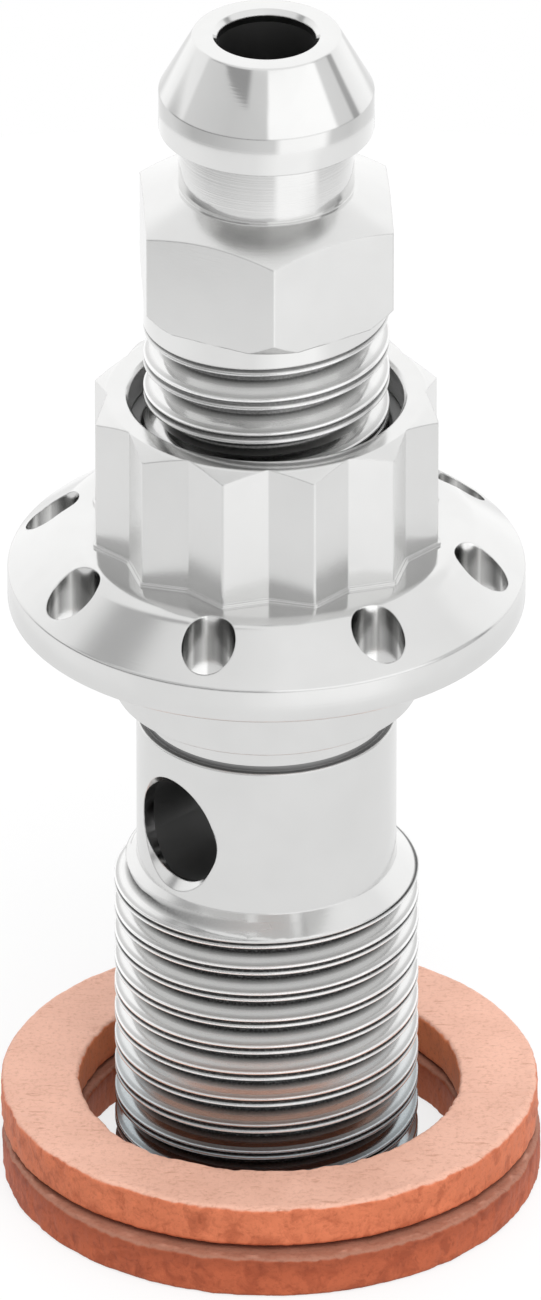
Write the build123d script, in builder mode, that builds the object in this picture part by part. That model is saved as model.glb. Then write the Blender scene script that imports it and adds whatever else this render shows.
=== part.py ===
"""Banjo bolt with its bleed nipple and two copper sealing washers, in millimetres.

The bolt stands upright on its threaded end. The origin is the middle of that end, +Z runs up the
bolt's axis to the nipple, and -Y is the front. The washers lie round the threaded end.
"""
import os
from math import cos, radians, sin, tan

from build123d import *

os.makedirs("parts", exist_ok=True)

# Banjo bolt: threaded end and shank
end_thread_d = 10.0            # M10 x 1, drawn plain at its outer diameter
end_thread_length = 11.05      # from the end face to the run-out
end_chamfer = 0.8              # 45 degree lead-in at the end face
run_out_height = 0.55          # cone between thread and shank
shank_d = 8.52
shank_length = 5.25
relief_d = 8.1                 # narrow neck under the collar
relief_length = 1.13
collar_d = 10.0                # centres the banjo fitting
collar_length = 3.17

# Banjo bolt: flange
flange_d = 16.9
rim_height = 1.21
rim_round = 0.15
cone_height = 1.5
ring_d = 13.15                 # where the cone would meet the flat ring round the head
ring_round = 1.2
drain_hole_d = 1.75
drain_hole_count = 8
drain_hole_wall = 0.345        # from each hole out to the rim
drain_hole_turn = -15.0        # first hole, degrees from the front towards +X

# Banjo bolt: twelve-point head
head_flats = 10.0
head_height = 4.85
head_turn = 0.8                # degrees from the front towards +X
head_edge_round = 0.12
head_chamfer_d = 10.4
head_chamfer_angle = 30.0      # degrees below the level

# Banjo bolt: bores
passage_d = 3.5
passage_edge = 0.4             # chamfer where the passage leaves the end face
banjo_hole_d = 3.5
banjo_hole_sink_d = 4.1        # countersink at both mouths of the hole across the shank
banjo_hole_turn = -46.5        # degrees from the front towards +X
banjo_hole_height = 13.85
passage_rise = 0.6             # the passage goes on this far above the hole across the shank
orifice_d = 2.6                # narrower hole from the passage up to the seat
orifice_length = 1.53
drill_point_angle = 59.0       # half angle where the passage narrows to the orifice
seat_half_angle = 45.0
seat_bore_d = 6.0
seat_bore_length = 2.4         # from the top of the seat cone up to the tapped bore
counterbore_d = 8.94
counterbore_depth = 1.1
counterbore_edge = 0.12

# Bleed nipple: thread and valve end
nipple_thread_d = 8.0          # M8 x 1.25, drawn plain at its outer diameter
nipple_thread_chamfer = 0.6
nipple_pilot_d = 5.5
nipple_pilot_length = 3.0      # from the top of the tip cone up to the thread
nipple_tip_d = 2.0

# Bleed nipple: hexagon, neck and hose barb
hex_flats = 8.0
hex_turn = 3.0                 # degrees from the front towards +X
hex_base = 32.45               # above the bolt's end face
hex_height = 4.05
hex_top_d = 6.5                # where the upper chamfer starts
hex_top_angle = 30.0           # degrees from the level
hex_foot_d = 8.45              # where the lower chamfer starts
hex_foot_angle = 50.0
neck_d = 5.7
neck_length = 2.06
neck_round = 0.25
barb_d = 6.98
barb_length = 1.35
barb_cone_length = 2.0
mouth_d = 4.8

# Bleed nipple: bores
nipple_bore_d = 3.2
nipple_bore_sink = 0.15        # widening at the mouth, on the radius
nipple_cross_hole_d = 1.8
nipple_cross_hole_lift = 1.4   # its axis above the top of the tip cone

# Sealing washers
washer_outer_d = 17.7
washer_inner_d = 12.55
washer_thickness = 1.43
washer_round = 0.15
washer_lean = 0.5              # degrees, the upper washer stands up at the front
lower_washer_right = 0.16      # both lie loose round the bolt: towards +X
lower_washer_forward = 0.4     # towards -Y
upper_washer_right = 0.1
upper_washer_back = 0.15       # towards +Y

# Fits
thread_clearance = 0.04        # on the radius, nipple thread in its tapped bore
seat_clearance = 0.04          # along the axis, tip cone above its seat
washer_clearance = 0.02        # between the washers where they come nearest

# Heights along the bolt, from the end face
run_out_top = end_thread_length + run_out_height
shank_top = run_out_top + shank_length
collar_base = shank_top + relief_length
flange_base = collar_base + collar_length
rim_top = flange_base + rim_height
ring_height = rim_top + cone_height
head_top = ring_height + head_height

# Circle that the holes through the flange are drilled on
drain_hole_pitch_d = flange_d - 2 * drain_hole_wall - drain_hole_d

# Heights of the passage, the seat and the bores above it
passage_top = banjo_hole_height + banjo_hole_d / 2 + passage_rise
orifice_base = passage_top + (passage_d - orifice_d) / 2 / tan(radians(drill_point_angle))
seat_height = orifice_base + orifice_length
seat_slope = tan(radians(seat_half_angle))
seat_top = seat_height + (seat_bore_d - orifice_d) / 2 / seat_slope
tapped_bore_base = seat_top + seat_bore_length
tapped_bore_d = nipple_thread_d + 2 * thread_clearance
counterbore_base = head_top - counterbore_depth

# Heights along the nipple
tip_cone_top = seat_height + seat_clearance + (nipple_pilot_d - orifice_d) / 2 / seat_slope
tip_base = tip_cone_top - (nipple_pilot_d - nipple_tip_d) / 2 / seat_slope
nipple_thread_base = tip_cone_top + nipple_pilot_length
hex_top = hex_base + hex_height
barb_base = hex_top + neck_length
barb_top = barb_base + barb_length
nipple_top = barb_top + barb_cone_length
nipple_cross_hole_height = tip_cone_top + nipple_cross_hole_lift

front = -90.0                  # the direction -Y, in degrees from +X


def hexagon_radius(flats):
    """Distance from the middle of a hexagon to its corners."""
    return flats / 2 / cos(radians(30))


def circles(part, diameter, height=None):
    """The part's circular edges of this diameter, at one height or at all."""
    return part.edges().filter_by(GeomType.CIRCLE).filter_by(
        lambda e: abs(e.radius - diameter / 2) < 1e-4
        and (height is None or abs(e.arc_center.Z - height) < 1e-4))


# Banjo bolt, one turned piece
head_r = hexagon_radius(head_flats)
with BuildPart() as banjo_bolt:
    # Round body, from the end face up to the flat ring
    with BuildSketch(Plane.XZ):
        with BuildLine():
            Polyline(
                (0, 0),
                (end_thread_d / 2 - end_chamfer, 0),
                (end_thread_d / 2, end_chamfer),
                (end_thread_d / 2, end_thread_length),
                (shank_d / 2, run_out_top),
                (shank_d / 2, shank_top),
                (relief_d / 2, shank_top),
                (relief_d / 2, collar_base),
                (collar_d / 2, collar_base),
                (collar_d / 2, flange_base),
                (flange_d / 2, flange_base),
                (flange_d / 2, rim_top),
                (ring_d / 2, ring_height),
                (0, ring_height),
                close=True,
            )
        make_face()
    revolve(axis=Axis.Z)
    fillet(circles(banjo_bolt, ring_d), radius=ring_round)
    fillet(circles(banjo_bolt, flange_d), radius=rim_round)

    # Twelve-point head: two hexagons, with a notch to the front
    with BuildSketch(Plane.XY.offset(ring_height)):
        RegularPolygon(head_r, 6, rotation=front + head_turn - 15)
        RegularPolygon(head_r, 6, rotation=front + head_turn + 15)
    extrude(amount=head_height)
    head_corners = banjo_bolt.edges().filter_by(Axis.Z).filter_by(
        lambda e: abs(Vector(e.center().X, e.center().Y).length - head_r) < 1e-4)
    fillet(head_corners, radius=head_edge_round)
    with BuildSketch(Plane.XZ):
        with BuildLine():
            reach = head_r - head_chamfer_d / 2 + 1
            Polyline(
                (head_chamfer_d / 2, head_top),
                (head_chamfer_d / 2 + reach, head_top),
                (head_chamfer_d / 2 + reach, head_top - reach * tan(radians(head_chamfer_angle))),
                close=True,
            )
        make_face()
    revolve(axis=Axis.Z, mode=Mode.SUBTRACT)

    # Bores on the axis: passage, orifice, seat cone, seat bore, tapped bore and counterbore
    with BuildSketch(Plane.XZ):
        with BuildLine():
            Polyline(
                (0, 0),
                (passage_d / 2 + passage_edge, 0),
                (passage_d / 2, passage_edge),
                (passage_d / 2, passage_top),
                (orifice_d / 2, orifice_base),
                (orifice_d / 2, seat_height),
                (seat_bore_d / 2, seat_top),
                (seat_bore_d / 2, tapped_bore_base),
                (tapped_bore_d / 2, tapped_bore_base),
                (tapped_bore_d / 2, counterbore_base),
                (counterbore_d / 2, counterbore_base),
                (counterbore_d / 2, head_top - counterbore_edge),
                (counterbore_d / 2 + counterbore_edge, head_top),
                (0, head_top),
                close=True,
            )
        make_face()
    revolve(axis=Axis.Z, mode=Mode.SUBTRACT)

    # Hole across the shank, countersunk at both mouths
    for turn in (banjo_hole_turn, banjo_hole_turn + 180):
        outward = Vector(1, 0, 0).rotate(Axis.Z, front + turn)
        mouth = Vector(0, 0, banjo_hole_height) + outward * (shank_d / 2)
        with Locations(Plane(origin=mouth, z_dir=outward)):
            CounterSinkHole(banjo_hole_d / 2, banjo_hole_sink_d / 2, depth=shank_d / 2, counter_sink_angle=90)

    # Holes down through the flange
    with BuildSketch(Plane.XY.offset(flange_base)):
        with PolarLocations(drain_hole_pitch_d / 2, drain_hole_count, start_angle=front + drain_hole_turn):
            Circle(drain_hole_d / 2)
    extrude(amount=rim_height + cone_height, mode=Mode.SUBTRACT)

banjo_bolt.part.label = "banjo_bolt"
export_step(banjo_bolt.part, "parts/banjo_bolt.step")


# Bleed nipple, one turned piece
hex_r = hexagon_radius(hex_flats)
with BuildPart() as bleed_nipple:
    # Hexagon, its corners turned down above and below
    with BuildSketch(Plane.XY.offset(hex_base)):
        RegularPolygon(hex_r, 6, rotation=front + hex_turn)
    extrude(amount=hex_height)
    with BuildSketch(Plane.XZ):
        with BuildLine():
            Polyline(
                (0, hex_base),
                (hex_foot_d / 2, hex_base),
                (hex_r, hex_base + (hex_r - hex_foot_d / 2) * tan(radians(hex_foot_angle))),
                (hex_r, hex_top - (hex_r - hex_top_d / 2) * tan(radians(hex_top_angle))),
                (hex_top_d / 2, hex_top),
                (0, hex_top),
                close=True,
            )
        make_face()
    revolve(axis=Axis.Z, mode=Mode.INTERSECT)

    # Round body, from the valve tip up through the thread, neck and barb to the mouth
    with BuildSketch(Plane.XZ):
        with BuildLine():
            Polyline(
                (0, tip_base),
                (nipple_tip_d / 2, tip_base),
                (nipple_pilot_d / 2, tip_cone_top),
                (nipple_pilot_d / 2, nipple_thread_base),
                (nipple_thread_d / 2 - nipple_thread_chamfer, nipple_thread_base),
                (nipple_thread_d / 2, nipple_thread_base + nipple_thread_chamfer),
                (nipple_thread_d / 2, hex_base),
                (neck_d / 2, hex_base),
                (neck_d / 2, barb_base),
                (barb_d / 2, barb_base),
                (barb_d / 2, barb_top),
                (mouth_d / 2, nipple_top),
                (0, nipple_top),
                close=True,
            )
        make_face()
    revolve(axis=Axis.Z)
    fillet(circles(bleed_nipple, neck_d, hex_top), radius=neck_round)

    # Bore down from the mouth, and the hole across it above the tip cone
    with BuildSketch(Plane.XZ):
        with BuildLine():
            Polyline(
                (0, nipple_cross_hole_height),
                (nipple_bore_d / 2, nipple_cross_hole_height),
                (nipple_bore_d / 2, nipple_top - nipple_bore_sink),
                (nipple_bore_d / 2 + nipple_bore_sink, nipple_top),
                (0, nipple_top),
                close=True,
            )
        make_face()
    revolve(axis=Axis.Z, mode=Mode.SUBTRACT)
    with BuildSketch(Plane.XZ):
        with Locations((0, nipple_cross_hole_height)):
            Circle(nipple_cross_hole_d / 2)
    extrude(amount=nipple_pilot_d, both=True, mode=Mode.SUBTRACT)

bleed_nipple.part.label = "bleed_nipple"
export_step(bleed_nipple.part, "parts/bleed_nipple.step")


# Lower sealing washer, flat on the surface that the bolt stands on
with BuildPart() as lower_copper_washer:
    with BuildSketch(Plane.XY):
        with Locations((lower_washer_right, -lower_washer_forward)):
            Circle(washer_outer_d / 2)
            Circle(washer_inner_d / 2, mode=Mode.SUBTRACT)
    extrude(amount=washer_thickness)
    fillet(lower_copper_washer.edges().filter_by(GeomType.CIRCLE), radius=washer_round)

lower_copper_washer.part.label = "lower_copper_washer"
export_step(lower_copper_washer.part, "parts/lower_copper_washer.step")


# Upper sealing washer, leaning back on the lower one
lean = radians(washer_lean)
lowest_reach = ((washer_outer_d / 2 - washer_round) * sin(lean)
                + (washer_thickness / 2 - washer_round) * cos(lean) + washer_round)
upper_middle = washer_thickness + washer_clearance + lowest_reach
upper_origin = (upper_washer_right, upper_washer_back, upper_middle)
leaning_plane = Plane(origin=upper_origin).rotated((-washer_lean, 0, 0))
with BuildPart() as upper_copper_washer:
    with BuildSketch(leaning_plane):
        Circle(washer_outer_d / 2)
        Circle(washer_inner_d / 2, mode=Mode.SUBTRACT)
    extrude(amount=washer_thickness / 2, both=True)
    fillet(upper_copper_washer.edges().filter_by(GeomType.CIRCLE), radius=washer_round)

upper_copper_washer.part.label = "upper_copper_washer"
export_step(upper_copper_washer.part, "parts/upper_copper_washer.step")
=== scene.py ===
"""Looks for the banjo bolt: steel bolt and bleed nipple with real threads, two copper washers.

Sizes are in millimetres and angles in degrees, as in the solids. The bolt stands on its threaded end
at the origin, +Z runs up its axis and -Y is the front.
"""

from functools import reduce
from math import ceil, cos, floor, hypot, pi, radians, sin, tan

import bmesh
import bpy
import numpy as np
from mathutils import Matrix, Vector, noise


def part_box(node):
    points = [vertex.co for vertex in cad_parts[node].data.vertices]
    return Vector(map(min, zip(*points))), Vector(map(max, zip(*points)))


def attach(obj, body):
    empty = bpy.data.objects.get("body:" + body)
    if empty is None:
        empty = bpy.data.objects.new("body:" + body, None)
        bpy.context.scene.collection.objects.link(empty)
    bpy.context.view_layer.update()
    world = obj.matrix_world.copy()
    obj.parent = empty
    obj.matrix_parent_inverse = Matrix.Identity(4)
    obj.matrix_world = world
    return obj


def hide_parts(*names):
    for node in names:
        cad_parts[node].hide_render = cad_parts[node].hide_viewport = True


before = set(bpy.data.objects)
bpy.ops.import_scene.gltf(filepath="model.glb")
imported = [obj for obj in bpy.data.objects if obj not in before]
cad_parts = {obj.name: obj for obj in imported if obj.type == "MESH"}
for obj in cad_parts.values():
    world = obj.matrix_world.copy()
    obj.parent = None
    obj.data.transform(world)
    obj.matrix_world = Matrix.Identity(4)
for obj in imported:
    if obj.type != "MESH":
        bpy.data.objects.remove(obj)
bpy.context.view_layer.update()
scene = bpy.context.scene

MM = 0.001
FRONT = -90.0                  # the direction -Y, in degrees from +X
COLUMNS = 144                  # faces round a turned piece
PAST = 1.0                     # how far a cutting shape stands out of what it cuts

# Banjo bolt: threaded end, shank and collar
END_THREAD_R = 5.0
END_PITCH = 1.0
END_THREAD_TOP = 11.05
END_CREST_Z = 9.88             # where a crest of the thread crosses the front
END_CHAMFER = 0.8
SHANK_BASE = 11.60
SHANK_R = 4.26
SHANK_TOP = 16.85
SHANK_ROUND = 0.05
RELIEF_R = 4.05
COLLAR_BASE = 17.98
COLLAR_R = 5.0
COLLAR_ROUND = 0.06

# Banjo bolt: flange and the holes down through it
FLANGE_BASE = 21.15
FLANGE_R = 8.45
RIM_TOP = 22.36
RIM_ROUND = 0.15
RING_Z = 23.86                 # flat ring round the foot of the head
RING_R = 6.575
RING_ROUND = 1.2
DRAIN_HOLE_R = 0.875
DRAIN_HOLE_COUNT = 8
DRAIN_CIRCLE_R = 7.23
DRAIN_HOLE_TURN = -15.0

# Banjo bolt: twelve-point head
HEAD_TOP = 28.71
HEAD_FLATS = 10.0
HEAD_TURN = 0.8
HEAD_POINT_ROUND = 0.12
HEAD_NOTCH_ROUND = 0.05
HEAD_CHAMFER_R = 5.2
HEAD_CHAMFER_ANGLE = 30.0
HEAD_CHAMFER_ROUND = 0.1
HEAD_SUNK = 0.4                # how far the head reaches down into the flange
LEDGE_WIDTH = 0.08             # ledge round the foot of the head
LEDGE_HEIGHT = 0.1

# Banjo bolt: bores
PASSAGE_R = 1.75
PASSAGE_EDGE = 0.4
PASSAGE_TOP = 16.2
ORIFICE_R = 1.3
ORIFICE_BASE = 16.47
SEAT_Z = 18.0
SEAT_TOP = 19.7
SEAT_BORE_R = 3.0
TAPPED_BORE_R = 4.04
TAPPED_BORE_BASE = 22.1
TAPPED_BORE_ROUND = 0.12
COUNTERBORE_R = 4.47
COUNTERBORE_BASE = 27.61
COUNTERBORE_EDGE = 0.12
BANJO_HOLE_R = 1.75
BANJO_HOLE_SINK = 0.3
BANJO_HOLE_Z = 13.85
BANJO_HOLE_TURN = -46.5

# Bleed nipple: valve end and thread
TIP_R = 1.0
TIP_Z = 17.74
TIP_CONE_TOP = 19.49
PILOT_R = 2.75
CROSS_HOLE_R = 0.9
CROSS_HOLE_Z = 20.89
NIPPLE_THREAD_R = 4.0
NIPPLE_PITCH = 1.25
NIPPLE_THREAD_BASE = 22.49
NIPPLE_THREAD_TOP = 32.35
NIPPLE_CREST_Z = 30.47

# Bleed nipple: hexagon, neck, hose barb and bore
HEX_BASE = 32.45
HEX_TOP = 36.5
HEX_FLATS = 8.0
HEX_TURN = 3.0
HEX_CORNER_ROUND = 0.08
HEX_FOOT_R = 4.225
HEX_FOOT_ANGLE = 50.0
HEX_TOP_R = 3.0
HEX_TOP_ANGLE = 25.5
HEX_TOP_ROUND = 0.1
HEX_INSET = 0.2                # how far the thread's core reaches up into the hexagon
NECK_R = 2.85
BARB_R = 3.49
BARB_BASE = 38.56
BARB_FOOT_ROUND = 0.06
BARB_TOP = 39.91
BARB_TOP_ROUND = 0.08
MOUTH_R = 2.4
MOUTH_ROUND = 0.06
NIPPLE_TOP = 41.91
NIPPLE_BORE_R = 1.6
NIPPLE_BORE_SINK = 0.15

# Sealing washers
WASHER_OUTER_R = 8.85
WASHER_INNER_R = 6.275
WASHER_HALF = 0.715
WASHER_ROUND = 0.15
WASHER_COLUMNS = 720
UPPER_WASHER_LEAN = 0.5

# Thread profile over one pitch: share of the pitch from the middle of a crest, depth below the crest as
# a share of the pitch, and its painted shade, or below 0 its painted highlight. The rolled crest has
# a fine seam along its middle.
THREAD_ROWS = (
    (-0.185, 0.060, 0.30), (-0.170, 0.020, -0.5), (-0.150, 0.0, -1.0), (-0.105, 0.0, -1.0),
    (-0.080, 0.010, 0.0), (-0.052, 0.050, 1.0), (-0.005, 0.062, 1.0), (0.042, 0.050, 1.0),
    (0.068, 0.010, 0.0), (0.090, 0.0, -1.0), (0.135, 0.002, -1.0), (0.150, 0.022, -0.6),
    (0.165, 0.062, 0.30), (0.20, 0.125, 0.20), (0.25, 0.220, -0.2), (0.30, 0.315, -0.1),
    (0.345, 0.402, 0.35), (0.395, 0.496, 0.80), (0.43, 0.555, 1.0), (0.47, 0.575, 1.0),
    (0.52, 0.575, 1.0), (0.565, 0.545, 0.90), (0.62, 0.452, 0.25), (0.70, 0.292, 0.0),
    (0.775, 0.142, 0.0),
)
THREAD_DEPTH = max(depth for _, depth, _ in THREAD_ROWS)

# Colours
WHITE = (1.0, 1.0, 1.0)
BOLT_COLOR = (0.73, 0.73, 0.725)
NIPPLE_COLOR = (0.74, 0.74, 0.735)
COPPER_FACE = (0.855, 0.50, 0.38)
COPPER_EDGE = (0.85, 0.25, 0.118)
# The walls of the washers' hole, brightened with painted light that stands for light bounced round them
COPPER_INSIDE_LIT = (1.0, 0.31, 0.13)


# Shapes

def new_object(name, verts, faces):
    """A mesh object from points in millimetres."""
    mesh = bpy.data.meshes.new(name)
    mesh.from_pydata([tuple(c * MM for c in v) for v in verts], [], faces)
    mesh.validate()
    obj = bpy.data.objects.new(name, mesh)
    scene.collection.objects.link(obj)
    return obj


def arc(middle, radius, start, end, steps):
    """Points (r, z) along an arc, angles in degrees from +r towards +z."""
    out = []
    for k in range(steps + 1):
        a = radians(start + (end - start) * k / steps)
        out.append((middle[0] + radius * cos(a), middle[1] + radius * sin(a)))
    return out


def rounded(points, steps=3):
    """A line or outline whose corners are curved where a point has a third number, the rounding."""
    out = []
    for k, (x, y, *rounding) in enumerate(points):
        if not rounding:
            out.append((x, y))
            continue
        corner = Vector((x, y))
        back = Vector(points[k - 1][:2]) - corner
        ahead = Vector(points[(k + 1) % len(points)][:2]) - corner
        reach = rounding[0] / tan(back.angle(ahead) / 2)
        start = corner + back.normalized() * reach
        end = corner + ahead.normalized() * reach
        for s in range(steps + 1):
            t = s / steps
            at = start * (1 - t) ** 2 + corner * 2 * t * (1 - t) + end * t ** 2
            out.append((at.x, at.y))
    return out


def turned(name, profile, columns=COLUMNS):
    """A closed turned solid: the profile runs from the axis at the bottom to the axis at the top."""
    verts, faces, rings = [], [], []
    for r, z in profile:
        if r < 1e-6:
            verts.append((0, 0, z))
            rings.append([len(verts) - 1])
            continue
        rings.append(list(range(len(verts), len(verts) + columns)))
        for i in range(columns):
            a = 2 * pi * i / columns
            verts.append((r * cos(a), r * sin(a), z))
    for low, high in zip(rings, rings[1:]):
        for i in range(columns):
            j = (i + 1) % columns
            if len(low) == 1:
                faces.append((low[0], high[j], high[i]))
            elif len(high) == 1:
                faces.append((low[i], low[j], high[0]))
            else:
                faces.append((low[i], low[j], high[j], high[i]))
    return new_object(name, verts, faces)


def cylinder(name, radius, low, high, columns=48):
    """A plain cylinder between two heights."""
    return turned(name, [(0, low), (radius, low), (radius, high), (0, high)], columns)


def prism(name, outline, low, high):
    """A closed prism over an outline of (x, y) points."""
    n = len(outline)
    verts = [(x, y, low) for x, y in outline] + [(x, y, high) for x, y in outline]
    faces = [tuple(range(n - 1, -1, -1)), tuple(range(n, 2 * n))]
    faces += [(i, (i + 1) % n, n + (i + 1) % n, n + i) for i in range(n)]
    return new_object(name, verts, faces)


def combine(obj, other, how):
    """Boolean of two objects; the second is used up."""
    mod = obj.modifiers.new(how, "BOOLEAN")
    mod.operation = how
    mod.solver = "EXACT"
    mod.object = other
    bpy.context.view_layer.update()
    shaped = obj.evaluated_get(bpy.context.evaluated_depsgraph_get())
    done = bpy.data.meshes.new_from_object(shaped)
    obj.modifiers.clear()
    obj.data = done
    bpy.data.objects.remove(other)


def place_along(obj, origin, direction):
    """Turns an object modelled along +Z so that it points along direction, from origin, in its mesh."""
    turn = Vector((0, 0, 1)).rotation_difference(Vector(direction)).to_matrix().to_4x4()
    obj.data.transform(Matrix.Translation([c * MM for c in origin]) @ turn)
    return obj


def star_outline(flats):
    """Outline of two crossed hexagons with rounded points and notches."""
    point_r = flats / 2 / cos(radians(30))
    notch_r = flats / 2 / cos(radians(15))
    corners = []
    for k in range(12):
        for radius, angle, rounding in ((point_r, 15, HEAD_POINT_ROUND), (notch_r, 30, HEAD_NOTCH_ROUND)):
            a = radians(FRONT + HEAD_TURN + angle + 30 * k)
            corners.append((radius * cos(a), radius * sin(a), rounding))
    return rounded(corners)


def hex_outline():
    """Outline of the nipple's hexagon with slightly rounded corners."""
    corner_r = HEX_FLATS / 2 / cos(radians(30))
    corners = []
    for k in range(6):
        a = radians(FRONT + HEX_TURN + 60 * k)
        corners.append((corner_r * cos(a), corner_r * sin(a), HEX_CORNER_ROUND))
    return rounded(corners)


def thread_form(share):
    """Depth and painted shade or highlight at a share of the pitch, both from the thread's profile rows."""
    first = THREAD_ROWS[0][0]
    share = (share - first) % 1.0 + first
    shares = [row[0] for row in THREAD_ROWS] + [first + 1]
    depths = [row[1] for row in THREAD_ROWS] + [THREAD_ROWS[0][1]]
    darks = [row[2] for row in THREAD_ROWS] + [THREAD_ROWS[0][2]]
    return float(np.interp(share, shares, depths)), float(np.interp(share, shares, darks))


def smooth_step(t):
    """0 below 0 and 1 above 1, with a smooth rise between."""
    t = min(max(t, 0.0), 1.0)
    return t * t * (3 - 2 * t)


def thread_points(radius, pitch, low, high, crest, limit, last_turn, fade, soil):
    """Columns of (x, y, z, painted light) points up a right-hand thread, a column for each step round it.

    The thread's crest crosses the front at the height crest. limit(z) is the radius of the cones at the
    ends. The groove gets shallow over fade turns up to last_turn, counted in turns above that crest.
    soil scales the painted shade in the groove and the painted highlight on the crest.
    """
    # Height of the crest line over the column at angle a is start + pitch * (turn + a / 2 pi)
    start = crest + pitch * 0.25
    first = floor((low - start) / pitch) - 2
    last = ceil((high - start) / pitch) + 2
    rows = [(turn, row[0]) for turn in range(first, last) for row in THREAD_ROWS]
    columns = []
    for i in range(COLUMNS):
        a = 2 * pi * i / COLUMNS
        column = []
        for turn, share in rows:
            z = min(max(start + pitch * (turn + share + i / COLUMNS), low), high)
            along = (z - start) / pitch - i / COLUMNS
            groove = floor(along) + 0.5 + i / COLUMNS
            cut = 1 - smooth_step((groove - (last_turn - fade)) / fade)
            depth, dark = thread_form(along)
            plain = limit(z)
            r = min(radius - cut * depth * pitch, plain)
            # Painted light: painted shade in the groove, and below 0 a painted highlight on the crest
            grime = dark * cut * soil if plain > radius - 0.5 * pitch else 0.0
            column.append((r * cos(a), r * sin(a), z, grime))
        columns.append(column)
    return columns


def cut_thread(obj, radius, pitch, low, high, **form):
    """Replaces the plain wall between two rings of a turned solid by a thread, and marks its painted
    shade and highlights.

    The thread's form is what thread_points takes after the four sizes.
    """
    bm = bmesh.new()
    bm.from_mesh(obj.data)
    painted_light_layer = bm.verts.layers.float.new("grime")
    # The wall lies near the thread's radius and doesn't look straight up or down
    wall = [
        f for f in bm.faces
        if all(low - 1e-4 <= v.co.z / MM <= high + 1e-4 for v in f.verts)
        and min(hypot(v.co.x, v.co.y) for v in f.verts) / MM > radius - pitch
        and abs(f.normal.z) < 0.85
    ]
    bmesh.ops.delete(bm, geom=wall, context="FACES")

    grid = []
    for column in thread_points(radius, pitch, low, high, **form):
        grid.append([])
        for x, y, z, grime in column:
            vert = bm.verts.new((x * MM, y * MM, z * MM))
            vert[painted_light_layer] = grime
            grid[-1].append(vert)
    for i in range(COLUMNS):
        # Once round, each row meets the one a turn higher
        shift = len(THREAD_ROWS) if i == COLUMNS - 1 else 0
        here, there = grid[i], grid[(i + 1) % COLUMNS]
        for j in range(len(here) - 1 - shift):
            quad = (here[j], there[j + shift], there[j + 1 + shift], here[j + 1])
            if max(v.co.z for v in quad) - min(v.co.z for v in quad) > 1e-9:
                bm.faces.new(quad)
    bmesh.ops.remove_doubles(bm, verts=bm.verts, dist=2e-7)
    bmesh.ops.dissolve_degenerate(bm, edges=bm.edges, dist=1e-8)
    loose = [v for v in bm.verts if not v.link_faces]
    bmesh.ops.delete(bm, geom=loose, context="VERTS")
    bmesh.ops.recalc_face_normals(bm, faces=bm.faces)
    open_edges = sum(1 for e in bm.edges if len(e.link_faces) != 2)
    print("thread on", obj.name, "faces", len(bm.faces), "open edges", open_edges)
    bm.to_mesh(obj.data)
    bm.free()


def finish_mesh(obj, angle=28):
    """Smooth shading that keeps the real edges and lets flat faces stay flat beside their roundings."""
    obj.data.shade_smooth()
    obj.data.set_sharp_from_angle(angle=radians(angle))
    mod = obj.modifiers.new("even", "WEIGHTED_NORMAL")
    mod.keep_sharp = True


def coat(obj, material):
    """Gives an object one material."""
    obj.data.materials.clear()
    obj.data.materials.append(material)


# Nodes

def nodes_of(name):
    """A new material and its empty node tree."""
    material = bpy.data.materials.new(name)
    material.use_nodes = True
    material.node_tree.nodes.clear()
    return material, material.node_tree


def add(tree, kind, inputs=None, **settings):
    """A node with its settings; each input is given an output to link, a number, a vector or a colour."""
    node = tree.nodes.new(kind)
    for key, value in settings.items():
        setattr(node, key, value)
    for key, value in (inputs or {}).items():
        socket = node.inputs[key]
        if isinstance(value, bpy.types.NodeSocket):
            tree.links.new(value, socket)
        elif isinstance(value, (int, float)):
            socket.default_value = value
        else:
            opaque = (1.0,) if socket.type == "RGBA" else ()
            socket.default_value = (*value, *opaque)
    return node


def calc(tree, operation, a, b=None):
    """One operation of arithmetic on one or two values."""
    inputs = {0: a} if b is None else {0: a, 1: b}
    return add(tree, "ShaderNodeMath", inputs, operation=operation).outputs[0]


def total(tree, *values):
    """All the values added up."""
    return reduce(lambda a, b: calc(tree, "ADD", a, b), values)


def product(tree, *values):
    """All the values multiplied."""
    return reduce(lambda a, b: calc(tree, "MULTIPLY", a, b), values)


def between(tree, value, low, high):
    """1 between two lengths in millimetres, and 0 elsewhere."""
    above = calc(tree, "GREATER_THAN", value, low * MM)
    below = calc(tree, "LESS_THAN", value, high * MM)
    return product(tree, above, below)


def zone(tree, radius, z, reach, low, high):
    """1 nearer to the axis than reach and between two heights, and 0 elsewhere."""
    return product(tree, calc(tree, "LESS_THAN", radius, reach * MM), between(tree, z, low, high))


def split(tree, vector):
    """The x, y and z of a vector."""
    return add(tree, "ShaderNodeSeparateXYZ", {0: vector}).outputs


def length(tree, x, y):
    """How far (x, y) is from the axis."""
    return calc(tree, "SQRT", total(tree, product(tree, x, x), product(tree, y, y)))


def outward(tree, x, y, nx, ny):
    """How far the face at (x, y) looks away from the axis, times its distance from the axis."""
    return total(tree, product(tree, x, nx), product(tree, y, ny))


def map_range(tree, value, start, end, low=0.0, high=1.0, kind="SMOOTHSTEP"):
    """low up to start, high from end on, and in between a rise that is smooth or LINEAR."""
    inputs = {0: value, 1: start, 2: end, 3: low, 4: high}
    return add(tree, "ShaderNodeMapRange", inputs, interpolation_type=kind).outputs[0]


def noise_at(tree, vector, scale, detail, roughness=0.5, distortion=0.0):
    """Noise from 0 to 1; on a vector in metres, scale is about the number of blots in a metre."""
    inputs = {
        "Vector": vector, "Scale": scale, "Detail": detail, "Roughness": roughness, "Distortion": distortion,
    }
    return add(tree, "ShaderNodeTexNoise", inputs).outputs["Fac"]


def mix(tree, how, factor, a, b):
    """Colour a with colour b over it, by MIX or by MULTIPLY."""
    inputs = {0: factor, 6: a, 7: b}
    return add(tree, "ShaderNodeMix", inputs, data_type="RGBA", blend_type=how).outputs[2]


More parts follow.
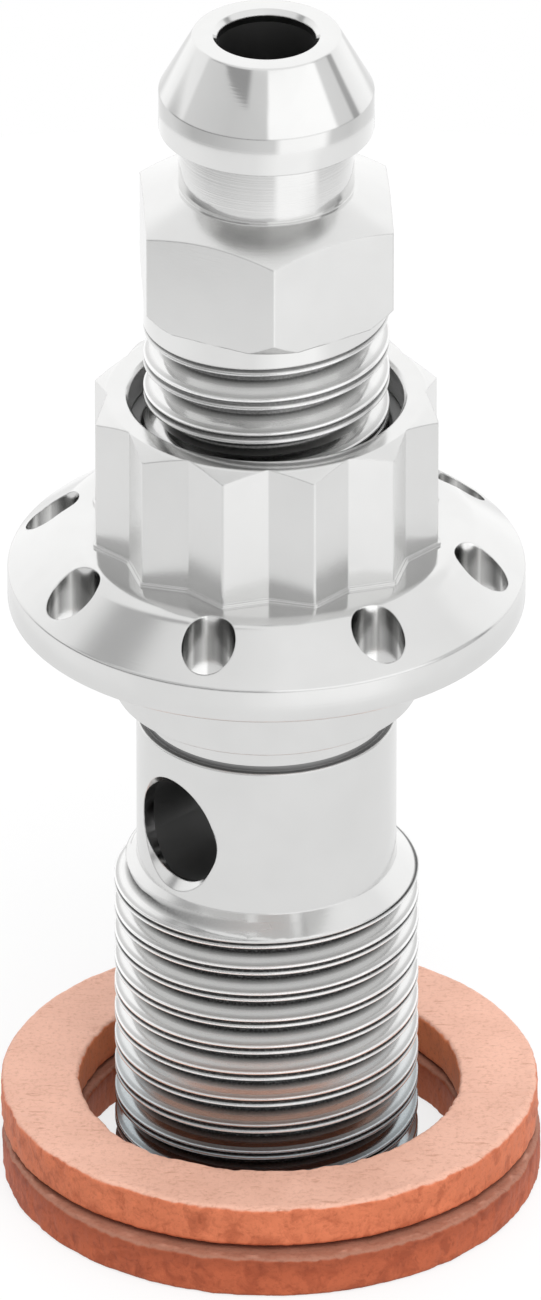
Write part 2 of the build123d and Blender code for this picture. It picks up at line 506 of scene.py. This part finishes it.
def ramp(tree, factor, stops):
    """A colour ramp through (place, colour) stops."""
    node = add(tree, "ShaderNodeValToRGB", {0: factor})
    while len(node.color_ramp.elements) < len(stops):
        node.color_ramp.elements.new(0.5)
    for element, (at, color) in zip(node.color_ramp.elements, stops):
        element.position = at
        element.color = (*color, 1)
    return node.outputs["Color"]


def grey(level):
    """A grey of this brightness."""
    return (level, level, level)


def round_ramp(tree, azimuth, levels):
    """A colour ramp over the azimuth from -180 to 180 degrees; levels are (angle, brightness) pairs."""
    return ramp(tree, azimuth, [((angle + 180) / 360, grey(level)) for angle, level in levels])


def azimuth_of(tree, x, y):
    """0 to 1 for azimuths from -180 to 180 degrees, 0 degrees to the front and 90 towards +X."""
    angle = calc(tree, "ARCTAN2", x, product(tree, y, -1.0))
    return total(tree, calc(tree, "DIVIDE", angle, 2 * pi), 0.5)


# Steel

def painted_hole_light(tree, x, y, z, radius, normal, inner, low, high):
    """The walls of the holes through the flange, and their tint by the way each faces: a painted highlight
    on one side and painted shade on the others.
    """
    nx, ny, nz = split(tree, normal)
    upright = calc(tree, "LESS_THAN", calc(tree, "ABSOLUTE", nz), 0.2)
    in_flange = product(tree, between(tree, z, low, high), calc(tree, "GREATER_THAN", radius, inner * MM))
    rim = calc(tree, "GREATER_THAN", outward(tree, x, y, nx, ny), (FLANGE_R - 0.3) * MM)
    walls = product(tree, upright, in_flange, calc(tree, "SUBTRACT", 1.0, rim))
    # Painted highlight above 1 and painted shade below it, by the azimuth of the wall's normal
    tint = round_ramp(tree, azimuth_of(tree, nx, ny), [
        (-180, 1.0), (-92, 0.42), (-72, 0.85), (0, 0.90), (5, 1.32), (40, 1.32), (50, 0.62), (92, 0.28),
        (180, 1.0),
    ])
    return walls, tint


def turned_normal(tree, radius, z, grit):
    """Normal with fine turning rings, which change with radius and height only, over softened edges."""
    fine = 16000
    ring_at = add(tree, "ShaderNodeCombineXYZ", {0: product(tree, radius, fine), 1: product(tree, z, fine)})
    rings = noise_at(tree, ring_at.outputs[0], 1.0, 2.0)
    height = total(tree, product(tree, rings, 0.5), product(tree, grit, 0.12))
    edge = add(tree, "ShaderNodeBevel", {"Radius": 0.07 * MM}, samples=4)
    bump = {"Strength": 0.5, "Distance": 0.002 * MM, "Height": height, "Normal": edge.outputs[0]}
    return add(tree, "ShaderNodeBump", bump).outputs[0]


def steel(name, color, roughness, shadows, dull, milled, drilled=None):
    """Turned steel with painted shade in thread grooves and bores, painted highlights on thread crests,
    milled flats, and drilled holes with painted highlight and shade on their walls.

    shadows, painted shade where no light comes, and milled, where the steel is duller, are zones: reach
    from the axis, from height, to height. dull is the height up to which painted shade dims the
    steel, the height from which it is clear, and the tint below. drilled is where the holes through the
    flange are: least distance from the axis, from height, to height.
    """
    material, tree = nodes_of(name)
    where = add(tree, "ShaderNodeTexCoord").outputs
    x, y, z = split(tree, where["Object"])
    radius = length(tree, x, y)
    cloud = noise_at(tree, where["Object"], 420.0, 4.0, 0.6)
    grit = noise_at(tree, where["Object"], 15000.0, 3.0)
    speck = total(tree, 0.70, product(tree, grit, 0.55))
    # Painted light from the thread's mesh: painted highlights on the crests, painted shade in the grooves
    grime = add(tree, "ShaderNodeAttribute", attribute_name="grime").outputs["Fac"]
    groove = calc(tree, "MINIMUM", product(tree, grime, speck), 1.0)
    deep = reduce(lambda a, b: calc(tree, "MAXIMUM", a, b), [zone(tree, radius, z, *s) for s in shadows])

    # Painted shade low down: the bolt's end in the washers and the nipple's thread in the counterbore
    dull_top, unshaded_from, dull_tint = dull
    dulled = product(tree, map_range(tree, z, dull_top * MM, unshaded_from * MM, 1.0, 0.0), speck)
    # White of the painted crest highlights, black of the painted groove shade, grey of the painted shadows
    highlight_white, groove_black, shadow = grey(0.96), grey(0.05), grey(0.3)
    shade = ramp(tree, cloud, [(0.3, [c * 0.95 for c in color]), (0.7, color)])
    shade = mix(tree, "MIX", product(tree, grime, -1.0), shade, highlight_white)
    shade = mix(tree, "MULTIPLY", groove, shade, groove_black)
    shade = mix(tree, "MIX", deep, shade, shadow)
    shade = mix(tree, "MULTIPLY", dulled, shade, dull_tint)
    # Painted highlight and shade on the walls of the holes through the flange
    if drilled:
        walls, tint = painted_hole_light(tree, x, y, z, radius, where["Normal"], *drilled)
        shade = mix(tree, "MULTIPLY", walls, shade, tint)

    rough = total(
        tree, roughness, product(tree, cloud, 0.05), map_range(tree, groove, 0.0, 0.1, 0.0, 0.20, "LINEAR"),
        product(tree, deep, 0.3), product(tree, zone(tree, radius, z, *milled), 0.10),
    )
    shader = add(tree, "ShaderNodeBsdfPrincipled", {
        "Metallic": 1.0, "Base Color": shade, "Roughness": rough,
        "Normal": turned_normal(tree, radius, z, grit),
    })
    add(tree, "ShaderNodeOutputMaterial", {0: shader.outputs[0]})
    return material


# Copper

def copper(name):
    """Soft annealed copper: pale scuffed faces, redder cut edges, uneven all over, with painted light
    on the walls of the hole and painted shade low on the lower washer.
    """
    material, tree = nodes_of(name)
    where = add(tree, "ShaderNodeTexCoord").outputs
    x, y, z = split(tree, where["Object"])
    nx, ny, nz = split(tree, where["Normal"])
    cloud = noise_at(tree, where["Object"], 450.0, 5.0, 0.65)
    dents = noise_at(tree, where["Object"], 1400.0, 4.0, 0.6, 0.6)
    grain = noise_at(tree, where["Object"], 6500.0, 3.0, 0.7)
    # Scratches: noise drawn out along one direction
    drawn = add(tree, "ShaderNodeMapping", {
        "Vector": where["Object"], "Rotation": (0.0, 0.0, radians(-52)), "Scale": (1800.0, 9000.0, 2500.0),
    })
    scratches = noise_at(tree, drawn.outputs[0], 1.0, 3.0, distortion=0.4)

    # The upper face, the cut edge with darker streaks, and the walls of the hole, brightened with painted
    # light
    wobble = product(tree, calc(tree, "SUBTRACT", dents, 0.5), 0.6)
    upper_face = map_range(tree, total(tree, nz, wobble), 0.30, 0.80)
    inside = calc(tree, "LESS_THAN", outward(tree, x, y, nx, ny), 0.0)
    streaks = ramp(tree, dents, [(0.36, (0.76, 0.68, 0.64)), (0.52, WHITE)])
    shade = mix(tree, "MULTIPLY", 1.0, COPPER_EDGE, streaks)
    shade = mix(tree, "MIX", inside, shade, COPPER_INSIDE_LIT)
    shade = mix(tree, "MIX", upper_face, shade, COPPER_FACE)

    # Stains, scratches and grain
    for pattern, dark_to, clear_from, tint in (
        (cloud, 0.30, 0.62, (0.90, 0.87, 0.85)),
        (scratches, 0.28, 0.38, (0.80, 0.74, 0.70)),
        (grain, 0.30, 0.50, (0.84, 0.80, 0.78)),
    ):
        shade = mix(tree, "MULTIPLY", 1.0, shade, ramp(tree, pattern, [(dark_to, tint), (clear_from, WHITE)]))

    # Painted shade: the lower washer is darker round its edge; the ramp runs over the lowest 4 mm
    painted_low_shade = ramp(tree, product(tree, z, 1 / (4 * MM)), [
        (0.0, (0.78, 0.66, 0.60)), (0.22, (0.70, 0.56, 0.50)), (0.355, (0.48, 0.36, 0.31)), (0.40, WHITE),
    ])
    shade = mix(tree, "MULTIPLY", 1.0, shade, painted_low_shade)

    height = total(tree, dents, product(tree, grain, 0.3), product(tree, scratches, 0.35))
    bump = add(tree, "ShaderNodeBump", {"Strength": 0.6, "Distance": 0.06 * MM, "Height": height})
    shader = add(tree, "ShaderNodeBsdfPrincipled", {
        "Metallic": 0.15, "Base Color": shade, "Roughness": total(tree, 0.50, product(tree, cloud, 0.2)),
        "Normal": bump.outputs[0],
    })
    add(tree, "ShaderNodeOutputMaterial", {0: shader.outputs[0]})
    return material


bolt_steel = steel(
    "bolt_steel", BOLT_COLOR, 0.12,
    shadows=[
        (SHANK_R - 0.41, 5.0, SHANK_TOP - 0.05),                    # passage, hole across the shank
        (RELIEF_R - 0.2, 17.1, 17.5),                               # orifice
        (SHANK_R - 0.05, SHANK_TOP - 0.02, SHANK_TOP + 0.2),        # foot of the relief
        (COUNTERBORE_R + 0.02, SEAT_Z, COUNTERBORE_BASE + 0.09),    # seat and tapped bore
    ],
    # painted shade on the end that sits in the washers
    dull=(1.2, 6.6, (0.42, 0.47, 0.50)),
    milled=(6.2, RING_Z + 0.12, HEAD_TOP - 0.05),
    drilled=(6.2, FLANGE_BASE + 0.05, RING_Z - 0.02),
)
nipple_steel = steel(
    "nipple_steel", NIPPLE_COLOR, 0.06,
    shadows=[(NIPPLE_BORE_R + 0.05, 18.0, NIPPLE_TOP - 0.4)],
    # painted shade on the thread down in the counterbore
    dull=(27.4, 29.0, grey(0.75)),
    milled=(6.0, HEX_BASE, HEX_TOP),
)
washer_copper = copper("washer_copper")


# Banjo bolt

def bolt_head():
    """Twelve-point head with a turned chamfer on top and a ledge round its foot."""
    head = prism("head", star_outline(HEAD_FLATS), RING_Z - HEAD_SUNK, HEAD_TOP)
    reach = 7.0
    drop = (reach - HEAD_CHAMFER_R) * tan(radians(HEAD_CHAMFER_ANGLE))
    chamfer = turned("chamfer", rounded([
        (0, RING_Z - PAST),
        (reach, RING_Z - PAST),
        (reach, HEAD_TOP - drop),
        (HEAD_CHAMFER_R, HEAD_TOP, HEAD_CHAMFER_ROUND),
        (0, HEAD_TOP),
    ]))
    combine(head, chamfer, "INTERSECT")
    wider = star_outline(HEAD_FLATS + 2 * LEDGE_WIDTH)
    ledge = prism("ledge", wider, RING_Z - HEAD_SUNK, RING_Z + LEDGE_HEIGHT)
    combine(head, ledge, "UNION")
    return head


def bolt_bores():
    """Everything bored out on the axis: passage, orifice, seat, tapped bore and counterbore."""
    past = 0.5
    return turned("bores", rounded([
        (0, -PAST),
        (PASSAGE_R + PASSAGE_EDGE + PAST, -PAST),
        (PASSAGE_R, PASSAGE_EDGE),
        (PASSAGE_R, PASSAGE_TOP),
        (ORIFICE_R, ORIFICE_BASE),
        (ORIFICE_R, SEAT_Z),
        (SEAT_BORE_R, SEAT_TOP),
        (SEAT_BORE_R, TAPPED_BORE_BASE),
        (TAPPED_BORE_R, TAPPED_BORE_BASE),
        (TAPPED_BORE_R, COUNTERBORE_BASE, TAPPED_BORE_ROUND),
        (COUNTERBORE_R, COUNTERBORE_BASE),
        (COUNTERBORE_R, HEAD_TOP - COUNTERBORE_EDGE),
        (COUNTERBORE_R + COUNTERBORE_EDGE + past, HEAD_TOP + past),
        (0, HEAD_TOP + past),
    ]))


def end_thread_limit(z):
    """Radius of the lead-in below and of the run-out cone above the bolt's thread."""
    lead = END_THREAD_R - END_CHAMFER + z
    away = SHANK_R + (SHANK_BASE - z) * (END_THREAD_R - SHANK_R) / (SHANK_BASE - END_THREAD_TOP)
    return min(lead, away, END_THREAD_R)


bolt = turned("bolt_body", rounded([
    (0, 0),
    (END_THREAD_R - END_CHAMFER, 0),
    (SHANK_R, SHANK_BASE),
    (SHANK_R, SHANK_TOP, SHANK_ROUND),
    (RELIEF_R, SHANK_TOP),
    (RELIEF_R, COLLAR_BASE),
    (COLLAR_R, COLLAR_BASE, COLLAR_ROUND),
    (COLLAR_R, FLANGE_BASE, RIM_ROUND),
    (FLANGE_R, FLANGE_BASE, RIM_ROUND),
    (FLANGE_R, RIM_TOP, RIM_ROUND),
    (RING_R, RING_Z, RING_ROUND),
    (0, RING_Z),
], steps=5))
combine(bolt, bolt_head(), "UNION")
combine(bolt, bolt_bores(), "DIFFERENCE")

# Hole across the shank, countersunk at both mouths
for turn in (BANJO_HOLE_TURN, BANJO_HOLE_TURN + 180):
    a = radians(FRONT + turn)
    past = 0.8
    drill = turned("drill", [
        (0, 0),
        (BANJO_HOLE_R, 0),
        (BANJO_HOLE_R, SHANK_R - BANJO_HOLE_SINK),
        (BANJO_HOLE_R + BANJO_HOLE_SINK + past, SHANK_R + past),
        (0, SHANK_R + past),
    ], columns=72)
    place_along(drill, (0, 0, BANJO_HOLE_Z), (cos(a), sin(a), 0))
    combine(bolt, drill, "DIFFERENCE")

# Holes down through the flange
for k in range(DRAIN_HOLE_COUNT):
    a = radians(FRONT + DRAIN_HOLE_TURN + 360 / DRAIN_HOLE_COUNT * k)
    drill = cylinder("drill", DRAIN_HOLE_R, FLANGE_BASE - PAST, RING_Z + PAST)
    place_along(drill, (DRAIN_CIRCLE_R * cos(a), DRAIN_CIRCLE_R * sin(a), 0), (0, 0, 1))
    combine(bolt, drill, "DIFFERENCE")

cut_thread(bolt, END_THREAD_R, END_PITCH, 0.0, SHANK_BASE, crest=END_CREST_Z, limit=end_thread_limit,
           last_turn=1.30, fade=0.30, soil=1.0)
finish_mesh(bolt)
coat(bolt, bolt_steel)
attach(bolt, "bolt")
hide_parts("banjo_bolt")


# Bleed nipple

def nipple_hexagon():
    """Hexagon with its corners turned down above and below."""
    hexagon = prism("hexagon", hex_outline(), HEX_BASE, HEX_TOP)
    reach = HEX_FLATS / 2 / cos(radians(30)) + 0.05
    shape = turned("hexagon_shape", rounded([
        (0, HEX_BASE),
        (HEX_FOOT_R, HEX_BASE),
        (reach, HEX_BASE + (reach - HEX_FOOT_R) * tan(radians(HEX_FOOT_ANGLE))),
        (reach, HEX_TOP - (reach - HEX_TOP_R) * tan(radians(HEX_TOP_ANGLE))),
        (HEX_TOP_R, HEX_TOP, HEX_TOP_ROUND),
        (0, HEX_TOP),
    ]))
    combine(hexagon, shape, "INTERSECT")
    return hexagon


def nipple_bore():
    """Bore down from the mouth, widened there."""
    past = 0.35
    return turned("nipple_bore", [
        (0, CROSS_HOLE_Z),
        (NIPPLE_BORE_R, CROSS_HOLE_Z),
        (NIPPLE_BORE_R, NIPPLE_TOP - NIPPLE_BORE_SINK),
        (NIPPLE_BORE_R + NIPPLE_BORE_SINK + past, NIPPLE_TOP + past),
        (0, NIPPLE_TOP + past),
    ])


def nipple_thread_limit(z):
    """Radius of the lead-in below the nipple's thread."""
    lead = NIPPLE_THREAD_R - THREAD_DEPTH * NIPPLE_PITCH + (z - NIPPLE_THREAD_BASE)
    return min(lead, NIPPLE_THREAD_R)


nipple = turned("nipple_body", rounded([
    (0, TIP_Z),
    (TIP_R, TIP_Z),
    (PILOT_R, TIP_CONE_TOP),
    (PILOT_R, NIPPLE_THREAD_BASE),
    (NIPPLE_THREAD_R - THREAD_DEPTH * NIPPLE_PITCH, NIPPLE_THREAD_BASE),
    (NIPPLE_THREAD_R, NIPPLE_THREAD_TOP),
    (NIPPLE_THREAD_R, HEX_BASE + HEX_INSET),
    (NECK_R, HEX_BASE + HEX_INSET),
    (NECK_R, BARB_BASE),
    (BARB_R, BARB_BASE, BARB_FOOT_ROUND),
    (BARB_R, BARB_TOP, BARB_TOP_ROUND),
    (MOUTH_R, NIPPLE_TOP, MOUTH_ROUND),
    (0, NIPPLE_TOP),
]))
combine(nipple, nipple_hexagon(), "UNION")
combine(nipple, nipple_bore(), "DIFFERENCE")
cross_hole = cylinder("cross_hole", CROSS_HOLE_R, -5.0, 5.0)
place_along(cross_hole, (0, 0, CROSS_HOLE_Z), (0, 1, 0))
combine(nipple, cross_hole, "DIFFERENCE")
cut_thread(nipple, NIPPLE_THREAD_R, NIPPLE_PITCH, NIPPLE_THREAD_BASE, NIPPLE_THREAD_TOP,
           crest=NIPPLE_CREST_Z, limit=nipple_thread_limit, last_turn=0.95, fade=0.25, soil=0.75)
finish_mesh(nipple)
coat(nipple, nipple_steel)
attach(nipple, "nipple")
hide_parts("bleed_nipple")


# Sealing washers

def washer_section():
    """Outline (r, z) of a washer's section, counter-clockwise, with more points where it is uneven."""
    outer, inner = WASHER_OUTER_R - WASHER_ROUND, WASHER_INNER_R + WASHER_ROUND
    top = WASHER_HALF - WASHER_ROUND
    flat = [outer - (outer - inner) * (0.5 - 0.5 * cos(pi * k / 18)) for k in range(1, 18)]
    return [
        *arc((outer, -top), WASHER_ROUND, -90, 0, 4),
        *[(WASHER_OUTER_R, -top + 2 * top * k / 8) for k in range(1, 8)],
        *arc((outer, top), WASHER_ROUND, 0, 90, 6),
        *[(r, WASHER_HALF) for r in flat],
        *arc((inner, top), WASHER_ROUND, 90, 180, 6),
        *[(WASHER_INNER_R, top - 2 * top * k / 5) for k in range(1, 5)],
        *arc((inner, -top), WASHER_ROUND, 180, 270, 4),
        *[(r, -WASHER_HALF) for r in reversed(flat[::3])],
    ]


def uneven(r, z, angle, seed):
    """A point of the washer's surface moved in and out and up and down, most at its edges."""
    at = Vector((r * cos(angle), r * sin(angle), z + seed * 7.0))
    broad = noise.noise(at * 0.35)
    fine = noise.noise(at * 1.3 + Vector((seed, 3.1, 8.7)))
    rough = noise.noise(at * 4.0 + Vector((2.2, seed, 1.7)))
    tiny = noise.noise(at * 9.0 + Vector((6.0, 1.3, seed)))
    edge = min(1.0, max(0.0, (abs(r - (WASHER_OUTER_R + WASHER_INNER_R) / 2) - 0.85) / 0.3))
    new_r = r + edge * (0.035 * broad + 0.040 * fine + 0.028 * rough + 0.012 * tiny)
    new_z = z
    if z > WASHER_HALF - WASHER_ROUND * 1.1:
        # A burr stands up along the outer edge and is knocked flat in places
        burr = max(0.0, 1.0 - abs(WASHER_OUTER_R - 0.22 - r) / 0.17)
        new_z += 0.045 * burr * max(0.0, 0.35 + 1.6 * rough + 0.7 * tiny)
        new_z -= 0.05 * edge * max(0.0, 0.2 + 1.2 * fine + 0.8 * rough) + 0.012 * fine
    return Vector((new_r * cos(angle), new_r * sin(angle), new_z))


def washer(name, node, lean, seed):
    """A sheared copper ring with a rough, slightly uneven edge, where the solid ring lies."""
    low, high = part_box(node)
    middle = (low + high) / 2 / MM
    turn = Matrix.Rotation(radians(-lean), 3, "X")
    section = washer_section()
    verts = []
    for i in range(WASHER_COLUMNS):
        a = 2 * pi * i / WASHER_COLUMNS
        verts += [tuple(turn @ uneven(r, z, a, seed) + middle) for r, z in section]
    n = len(section)
    faces = []
    for i in range(WASHER_COLUMNS):
        j = (i + 1) % WASHER_COLUMNS
        for k in range(n):
            m = (k + 1) % n
            faces.append((i * n + k, j * n + k, j * n + m, i * n + m))
    obj = new_object(name, verts, faces)
    obj.data.shade_smooth()
    coat(obj, washer_copper)
    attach(obj, "bolt")
    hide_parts(node)


washer("lower_washer", "lower_copper_washer", 0.0, 1)
washer("upper_washer", "upper_copper_washer", UPPER_WASHER_LEAN, 2)


# Floor, light and camera

def stage_floor():
    """A disc that is white to the camera and keeps a faint shadow.

    Mirrored in the steel it glows with painted light: grey near the bolt, and further out a painted
    pattern round the bolt that stands for the panels of the tent lighting it unevenly.
    """
    reach, drop, sides = 71.4, 0.005, 128
    verts = [(0, 0, -drop)]
    faces = []
    for i in range(sides):
        a = 2 * pi * i / sides
        verts.append((reach * cos(a), reach * sin(a), -drop))
        faces.append((0, 1 + i, 1 + (i + 1) % sides))
    disc = new_object("floor", verts, faces)

    material, tree = nodes_of("floor_white")
    x, y, _ = split(tree, add(tree, "ShaderNodeTexCoord").outputs["Object"])
    # Painted glow for the steel to mirror, brighter on some sides of the bolt than on others
    further_out = round_ramp(tree, azimuth_of(tree, x, y), [
        (-180, 0.79), (-150, 0.79), (-90, 0.76), (-50, 0.67), (-12, 0.70), (12, 0.88), (44, 0.90), (62, 0.73),
        (110, 0.72), (150, 0.79), (180, 0.79),
    ])
    away = map_range(tree, length(tree, x, y), 41 * MM, 47 * MM)
    painted_glow = mix(tree, "MIX", away, grey(0.66), further_out)
    path = add(tree, "ShaderNodeLightPath").outputs
    diffuse = add(tree, "ShaderNodeBsdfDiffuse", {"Color": grey(0.24)})
    seen = add(tree, "ShaderNodeEmission", {
        "Color": WHITE, "Strength": product(tree, path["Is Camera Ray"], 0.74),
    })
    glint = add(tree, "ShaderNodeEmission", {"Color": painted_glow, "Strength": path["Is Glossy Ray"]})
    glow = add(tree, "ShaderNodeAddShader", {0: seen.outputs[0], 1: glint.outputs[0]})
    both = add(tree, "ShaderNodeAddShader", {0: diffuse.outputs[0], 1: glow.outputs[0]})
    add(tree, "ShaderNodeOutputMaterial", {0: both.outputs[0]})
    coat(disc, material)


def tent(tree, azimuth, elevation):
    """Brightness of the pale tent: a white panel right of the front, a greyer one left, dark gaps.

    Elevation is 0 straight down, 0.5 at the horizon and 1 straight up.
    """
    shade = round_ramp(tree, azimuth, [
        (-180, 0.95), (-120, 0.86), (-84, 0.60), (-60, 0.63), (-20, 0.77), (8, 0.84), (16, 1.28), (64, 1.30),
        (74, 0.82), (100, 0.77), (125, 0.87), (180, 0.95),
    ])
    low = round_ramp(tree, azimuth, [
        (-180, 1.25), (-135, 1.22), (-120, 1.10), (-97, 1.06), (-93, 0.84), (-40, 0.76), (0, 0.80), (3, 1.32),
        (76, 1.34), (80, 0.88), (99, 0.86), (101, 0.50), (108, 0.50), (111, 1.10), (135, 1.22), (180, 1.25),
    ])
    middle = round_ramp(tree, azimuth, [
        (-180, 1.25), (-135, 1.22), (-120, 1.10), (-101, 0.95), (-96, 0.40), (-27, 0.38), (-20, 0.78),
        (1, 0.82), (4, 1.30), (74, 1.30), (79, 0.42), (101, 0.42), (108, 0.60), (113, 1.10), (135, 1.22),
        (180, 1.25),
    ])
    high = round_ramp(tree, azimuth, [
        (-180, 1.05), (-112, 1.03), (-103, 0.52), (-90, 0.52), (-80, 0.95), (-30, 0.98), (20, 1.06),
        (180, 1.05),
    ])
    for level, start, end in ((low, 0.42, 0.46), (middle, 0.661, 0.667), (high, 0.70, 0.73)):
        shade = mix(tree, "MIX", map_range(tree, elevation, start, end), shade, level)

    # The gap between the tent and the floor
    horizon = ramp(tree, elevation, [
        (0.0, grey(0.0)), (0.425, grey(0.0)), (0.45, grey(1.0)), (0.505, grey(1.0)), (0.545, grey(0.0)),
        (1.0, grey(0.0)),
    ])
    gap = round_ramp(tree, azimuth, [
        (-180, 1.0), (-125, 1.0), (-105, 0.30), (-5, 0.30), (10, 0.6), (95, 0.6), (115, 1.0), (180, 1.0),
    ])
    return mix(tree, "MULTIPLY", 1.0, shade, mix(tree, "MIX", horizon, WHITE, gap))


def studio():
    """The tent all round, which the camera sees as plain white."""
    world = bpy.data.worlds.new("studio")
    scene.world = world
    world.use_nodes = True
    tree = world.node_tree
    tree.nodes.clear()
    x, y, z = split(tree, add(tree, "ShaderNodeTexCoord").outputs["Generated"])
    elevation = total(tree, calc(tree, "DIVIDE", calc(tree, "ARCSINE", z), pi), 0.5)
    shade = tent(tree, azimuth_of(tree, x, y), elevation)
    around = add(tree, "ShaderNodeBackground", {"Color": shade, "Strength": 1.0})
    white = add(tree, "ShaderNodeBackground", {"Color": WHITE, "Strength": 1.0})
    path = add(tree, "ShaderNodeLightPath").outputs
    seen = add(tree, "ShaderNodeMixShader", {
        0: path["Is Camera Ray"], 1: around.outputs[0], 2: white.outputs[0],
    })
    add(tree, "ShaderNodeOutputWorld", {0: seen.outputs[0]})


def lamp(name, azimuth, elevation, distance, size, power):
    """A soft square lamp aimed at the middle of the bolt; azimuth is from the front towards +X."""
    data = bpy.data.lights.new(name, "AREA")
    data.size = size
    data.energy = power
    obj = bpy.data.objects.new(name, data)
    scene.collection.objects.link(obj)
    a, e = radians(FRONT + azimuth), radians(elevation)
    aim = Vector((0, 0, 0.022))
    at = aim + distance * Vector((cos(a) * cos(e), sin(a) * cos(e), sin(e)))
    obj.location = at
    obj.rotation_euler = (aim - at).to_track_quat("-Z", "Y").to_euler()
    obj.visible_glossy = False


stage_floor()
studio()
lamp("key", azimuth=12, elevation=52, distance=0.35, size=0.22, power=0.50)

# Camera: the photograph's view from the front and above
IMAGE_HEIGHT = 1300            # pixels
PIXELS_PER_MM = 30.615
SENSOR_HEIGHT = 36.0
ELEVATION = 29.53
DISTANCE = 800.0
AIM_X = 0.132                  # the point on the bolt's middle plane at the centre of the view
AIM_Z = 19.112
camera_data = bpy.data.cameras.new("camera")
camera_data.sensor_fit = "VERTICAL"
camera_data.sensor_height = SENSOR_HEIGHT
camera_data.lens = PIXELS_PER_MM * DISTANCE * SENSOR_HEIGHT / IMAGE_HEIGHT
camera_data.clip_start = 0.05
camera_data.clip_end = 10
camera = bpy.data.objects.new("camera", camera_data)
scene.collection.objects.link(camera)
tilt = radians(ELEVATION)
aim = Vector((AIM_X * MM, 0, AIM_Z * MM))
camera.location = aim + DISTANCE * MM * Vector((0, -cos(tilt), sin(tilt)))
camera.rotation_euler = (pi / 2 - tilt, 0, 0)
scene.camera = camera

scene.view_settings.view_transform = "Standard"
